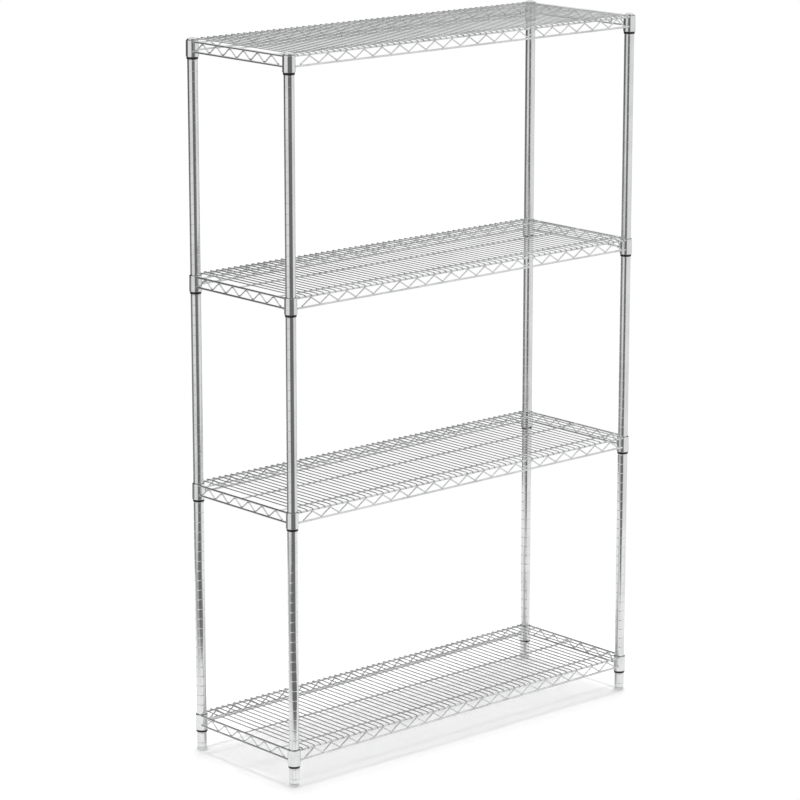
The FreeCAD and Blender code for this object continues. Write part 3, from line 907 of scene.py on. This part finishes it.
# %% Bend the deck wires
DECK_PITCH = 19.05 * MM
DECK_REACH = 29
DECK_X = [index * DECK_PITCH for index in range(-DECK_REACH, DECK_REACH + 1)]
DECK_RADIUS = 1.4 * MM
DECK_BEND = 3.95 * MM
DECK_STRAIGHT = 1.5 * MM
DECK_END_ROUND = 0.4 * MM
BEND_STEPS = 6
WIRE_SIDES = 16
WIRE_TURNS = even_turns(WIRE_SIDES)
ACROSS = Vector((1, 0, 0))
FRONT_TO_BACK = Vector((1, -1, 1))


def deck_wire(x, edge, level):
    """A wire across the shelf, from its back end to its front end, bent round edge wires at that level."""
    end = Vector((x, edge + DECK_BEND, level - DECK_END_ROUND))
    half = [(end, Vector((0, 1, 0)), DECK_RADIUS - DECK_END_ROUND)]
    for step in range(BEND_STEPS + 1):
        turn = math.pi / 2 * step / BEND_STEPS
        out = Vector((0, math.cos(turn), math.sin(turn)))
        half.append((Vector((x, edge, level)) + DECK_BEND * out, out, DECK_RADIUS))
    half.append((Vector((x, edge - DECK_STRAIGHT, level + DECK_BEND)), Vector((0, 0, 1)), DECK_RADIUS))
    mirrored_half = [(place * FRONT_TO_BACK, out * FRONT_TO_BACK, radius) for place, out, radius in half]
    return skin([
        [place + radius * (math.cos(turn) * ACROSS + math.sin(turn) * out) for turn in WIRE_TURNS]
        for place, out, radius in half + mirrored_half[::-1]
    ])


for shelf in SHELVES:
    node = f"{shelf}_deck_wires"
    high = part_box(node)[1]
    edge = high.y - DECK_RADIUS - DECK_BEND
    level = high.z - DECK_RADIUS - DECK_BEND
    wires = [deck_wire(x, edge, level) for x in DECK_X]
    make_piece(f"{shelf}_bent_deck_wires", wires, wire_chrome, shelf, node)
print(len(wires), "deck wires on each shelf, round edge wires at", round(edge / MM, 2), "mm")

# %% [markdown]
# ## Weld nuggets
#
# Every wire of a shelf is welded where it crosses another one. The weld leaves a small swelling in the angle
# between the two wires. In the model the wires only nearly touch there, so a flattened bead at each crossing
# closes the gap as the real nugget does.

# %% Find the welds of the deck
LONG_EDGE_Y = 193.0 * MM
SUPPORT_Y = (-147.0 * MM, 0, 147.0 * MM)
SUPPORT_TOP = 40.7 * MM
UPPER_EDGE = 38.2 * MM
EDGE_RADIUS = 2.5 * MM
CROSSING_WELD = Vector((1.9, 2.1, 0.9)) * MM


def deck_welds(foot):
    """The deck wires on the support wires and on the long edge wires."""
    for x in DECK_X:
        for y in SUPPORT_Y:
            yield Vector((x, y, foot + SUPPORT_TOP)), CROSSING_WELD
        for y in (-LONG_EDGE_Y, LONG_EDGE_Y):
            yield Vector((x, y, foot + UPPER_EDGE + EDGE_RADIUS)), CROSSING_WELD


print(len(list(deck_welds(0))), "welds in each deck")

# %% Find the welds of the trusses
DECK_WIRES_PER_PEAK = 3
LONG_TRUSS_PITCH = DECK_WIRES_PER_PEAK * DECK_PITCH
LONG_TRUSS_REACH = 9
SHORT_TRUSS_PITCH = 52.5 * MM
SHORT_TRUSS_PEAKS = 6
SHORT_EDGE_X = 580.0 * MM
SUPPORT_MIDDLE = 38.7 * MM
LOWER_EDGE = 13.2 * MM
TRUSS_PEAK = UPPER_EDGE - EDGE_RADIUS
TRUSS_VALLEY = LOWER_EDGE + EDGE_RADIUS
LONG_WELD = Vector((2.6, 1.7, 0.9)) * MM
SHORT_WELD = Vector((1.7, 2.6, 0.9)) * MM


def long_side_welds(foot):
    """The peaks and valleys of the long trusses on the long edge wires."""
    for y in (-LONG_EDGE_Y, LONG_EDGE_Y):
        for index in range(-LONG_TRUSS_REACH, LONG_TRUSS_REACH + 1):
            yield Vector((index * LONG_TRUSS_PITCH, y, foot + TRUSS_PEAK)), LONG_WELD
        for index in range(-LONG_TRUSS_REACH - 1, LONG_TRUSS_REACH + 1):
            yield Vector(((index + 0.5) * LONG_TRUSS_PITCH, y, foot + TRUSS_VALLEY)), LONG_WELD


def short_side_welds(foot):
    """The short trusses and the ends of the support wires on the short edge wires."""
    first = -SHORT_TRUSS_PITCH * SHORT_TRUSS_PEAKS / 2
    for x in (-SHORT_EDGE_X, SHORT_EDGE_X):
        for index in range(SHORT_TRUSS_PEAKS + 1):
            y = first + index * SHORT_TRUSS_PITCH
            yield Vector((x, y, foot + TRUSS_VALLEY)), SHORT_WELD
            if index < SHORT_TRUSS_PEAKS:
                yield Vector((x, y + SHORT_TRUSS_PITCH / 2, foot + TRUSS_PEAK)), SHORT_WELD
        inside = x - math.copysign(EDGE_RADIUS, x)
        for y in SUPPORT_Y:
            yield Vector((inside, y, foot + SUPPORT_MIDDLE)), SHORT_WELD


print("a peak of the long trusses every", round(LONG_TRUSS_PITCH / MM, 2), "mm")

# %% Weld the shelves
COLLAR_REACH = 12.8 * MM
LONG_END_WELD = Vector((1.3, 3.1, 3.1)) * MM
SHORT_END_WELD = Vector((3.1, 1.3, 3.1)) * MM
NUGGET_RINGS = 5
NUGGET_SIDES = 10
NUGGET_TURNS = even_turns(NUGGET_SIDES)


def collar_welds(foot):
    """The ends of the edge wires on the collars."""
    for corner in CORNERS:
        axis = post_axis(corner)
        inward_x = axis.x - math.copysign(COLLAR_REACH, axis.x)
        inward_y = axis.y - math.copysign(COLLAR_REACH, axis.y)
        for level in (LOWER_EDGE, UPPER_EDGE):
            yield Vector((inward_x, math.copysign(LONG_EDGE_Y, axis.y), foot + level)), LONG_END_WELD
            yield Vector((math.copysign(SHORT_EDGE_X, axis.x), inward_y, foot + level)), SHORT_END_WELD


def nugget(place, size):
    """A bead with the given half sizes along X, Y and Z."""
    rings = []
    for ring in range(NUGGET_RINGS):
        lift = -1 + 2 * (ring + 0.5) / NUGGET_RINGS
        reach = math.sqrt(1 - lift * lift)
        unit_ring = [Vector((reach * math.cos(turn), reach * math.sin(turn), lift)) for turn in NUGGET_TURNS]
        rings.append([place + corner * size for corner in unit_ring])
    return skin(rings)


for shelf in SHELVES:
    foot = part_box(f"{shelf}_collars")[0].z
    welds = [*deck_welds(foot), *long_side_welds(foot), *short_side_welds(foot), *collar_welds(foot)]
    nuggets = [nugget(place, size) for place, size in welds]
    make_piece(f"{shelf}_welds", nuggets, weld_chrome, shelf)
print(len(nuggets), "welds on each shelf")

# %% [markdown]
# ## Keep the sizes and finish
#
# The looks must not change the object's size, so the box of what is shown is written here. The box of
# the CAD model was written when it was loaded.

# %% Write the visual box
low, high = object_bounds()
print("visual box", [round(side, 4) for side in high - low], "m")
